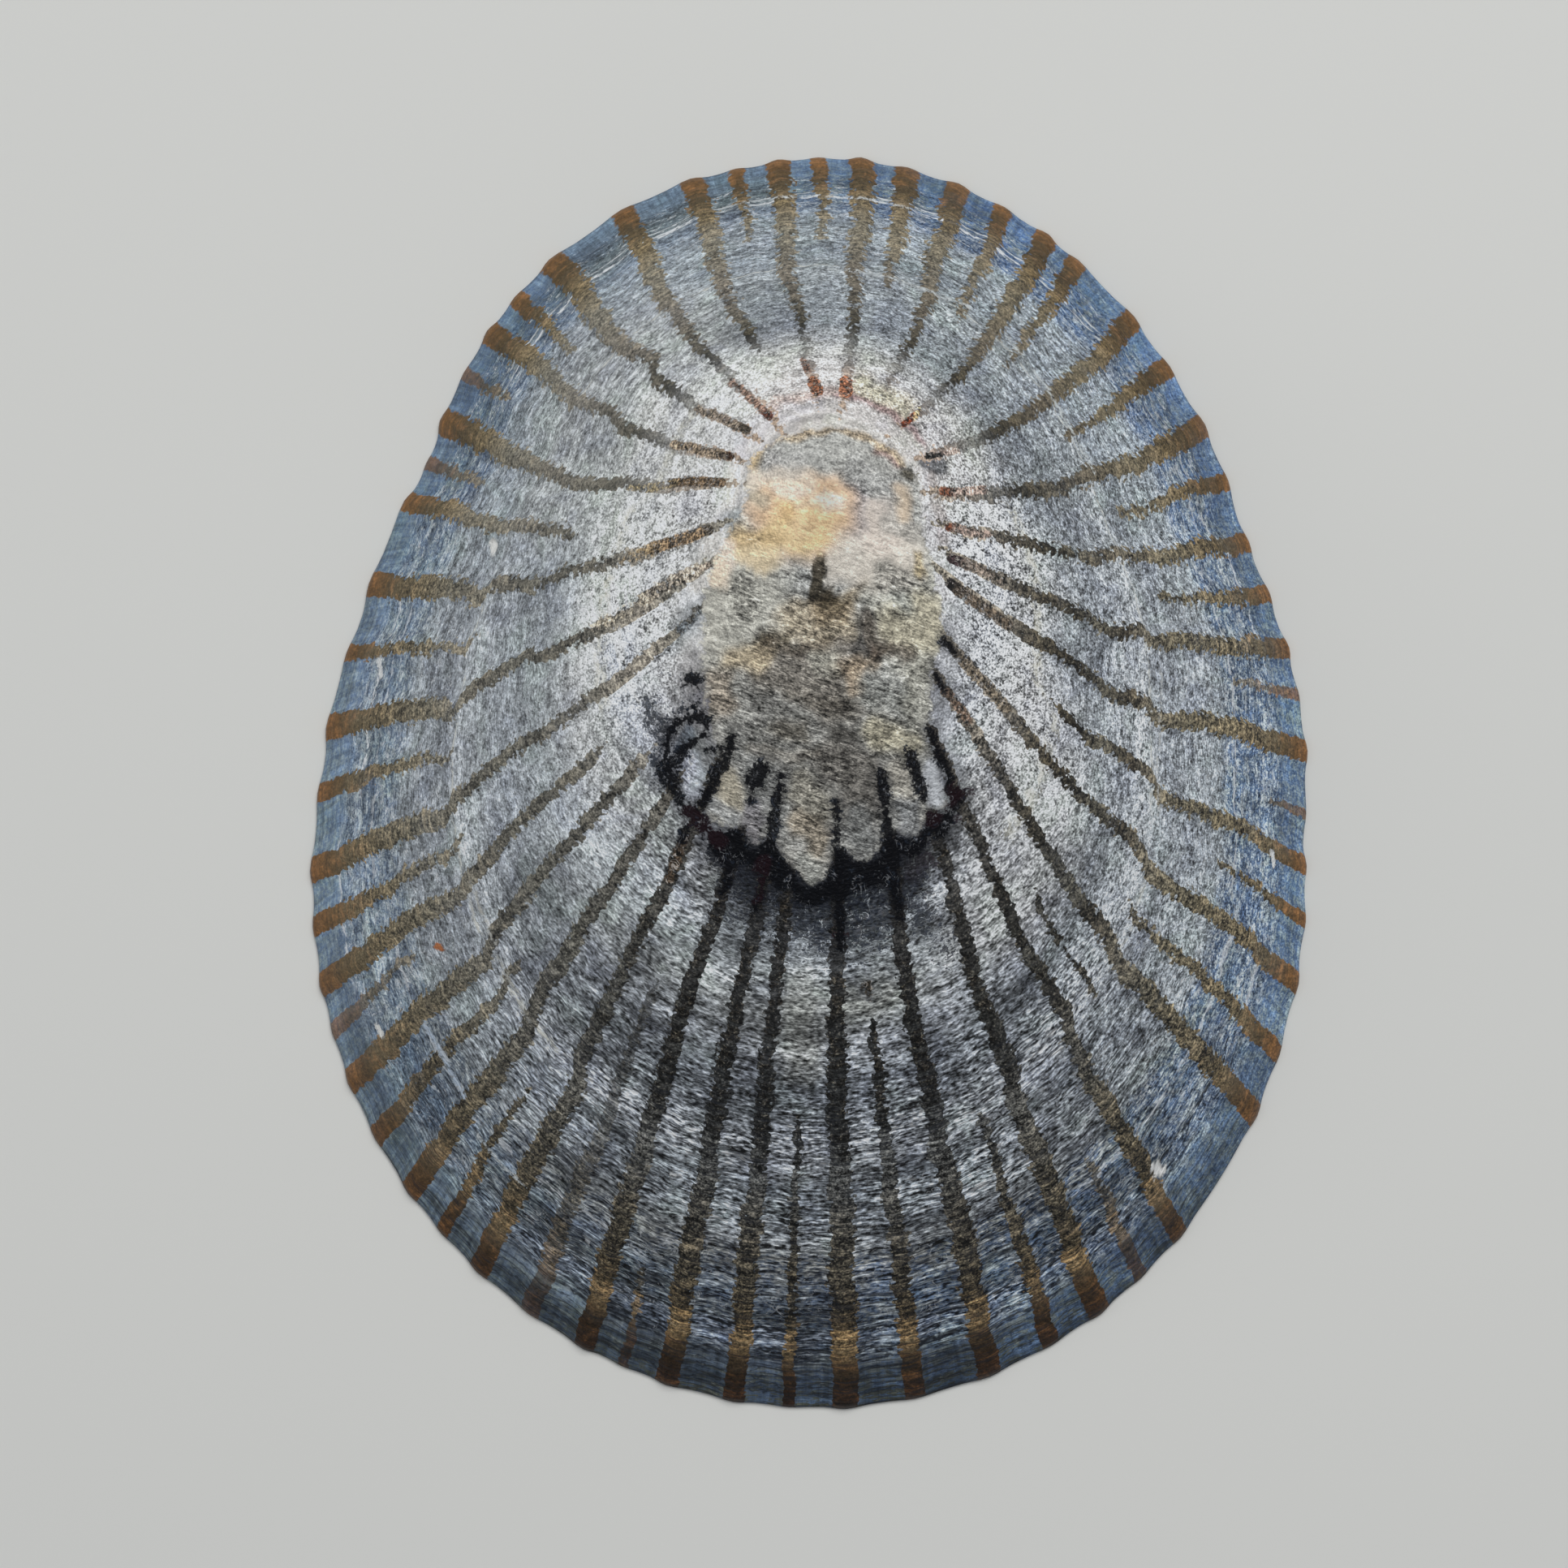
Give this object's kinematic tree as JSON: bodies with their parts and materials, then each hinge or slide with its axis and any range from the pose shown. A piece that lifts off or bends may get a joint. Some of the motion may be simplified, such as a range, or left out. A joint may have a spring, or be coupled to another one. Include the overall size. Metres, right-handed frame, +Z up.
{
  "type": "ribbed limpet shell",
  "caption": "Empty limpet shell: a low oval cone, hollow underneath, with dark rust-ended rays running from a worn pale apex to a scalloped blue-grey rim.",
  "frame": {"origin": "middle of the rim's box, on the plane that the rim rests on", "axes": "+Y toward the narrow front end nearest the apex, +Z up through the apex, +X to the right seen from above"},
  "size_m": [0.0496, 0.0622, 0.0185],
  "materials": {
    "shell": "satin"
  },
  "bodies": {
    "root": {"shell": "shell"}
  },
  "joints": []
}
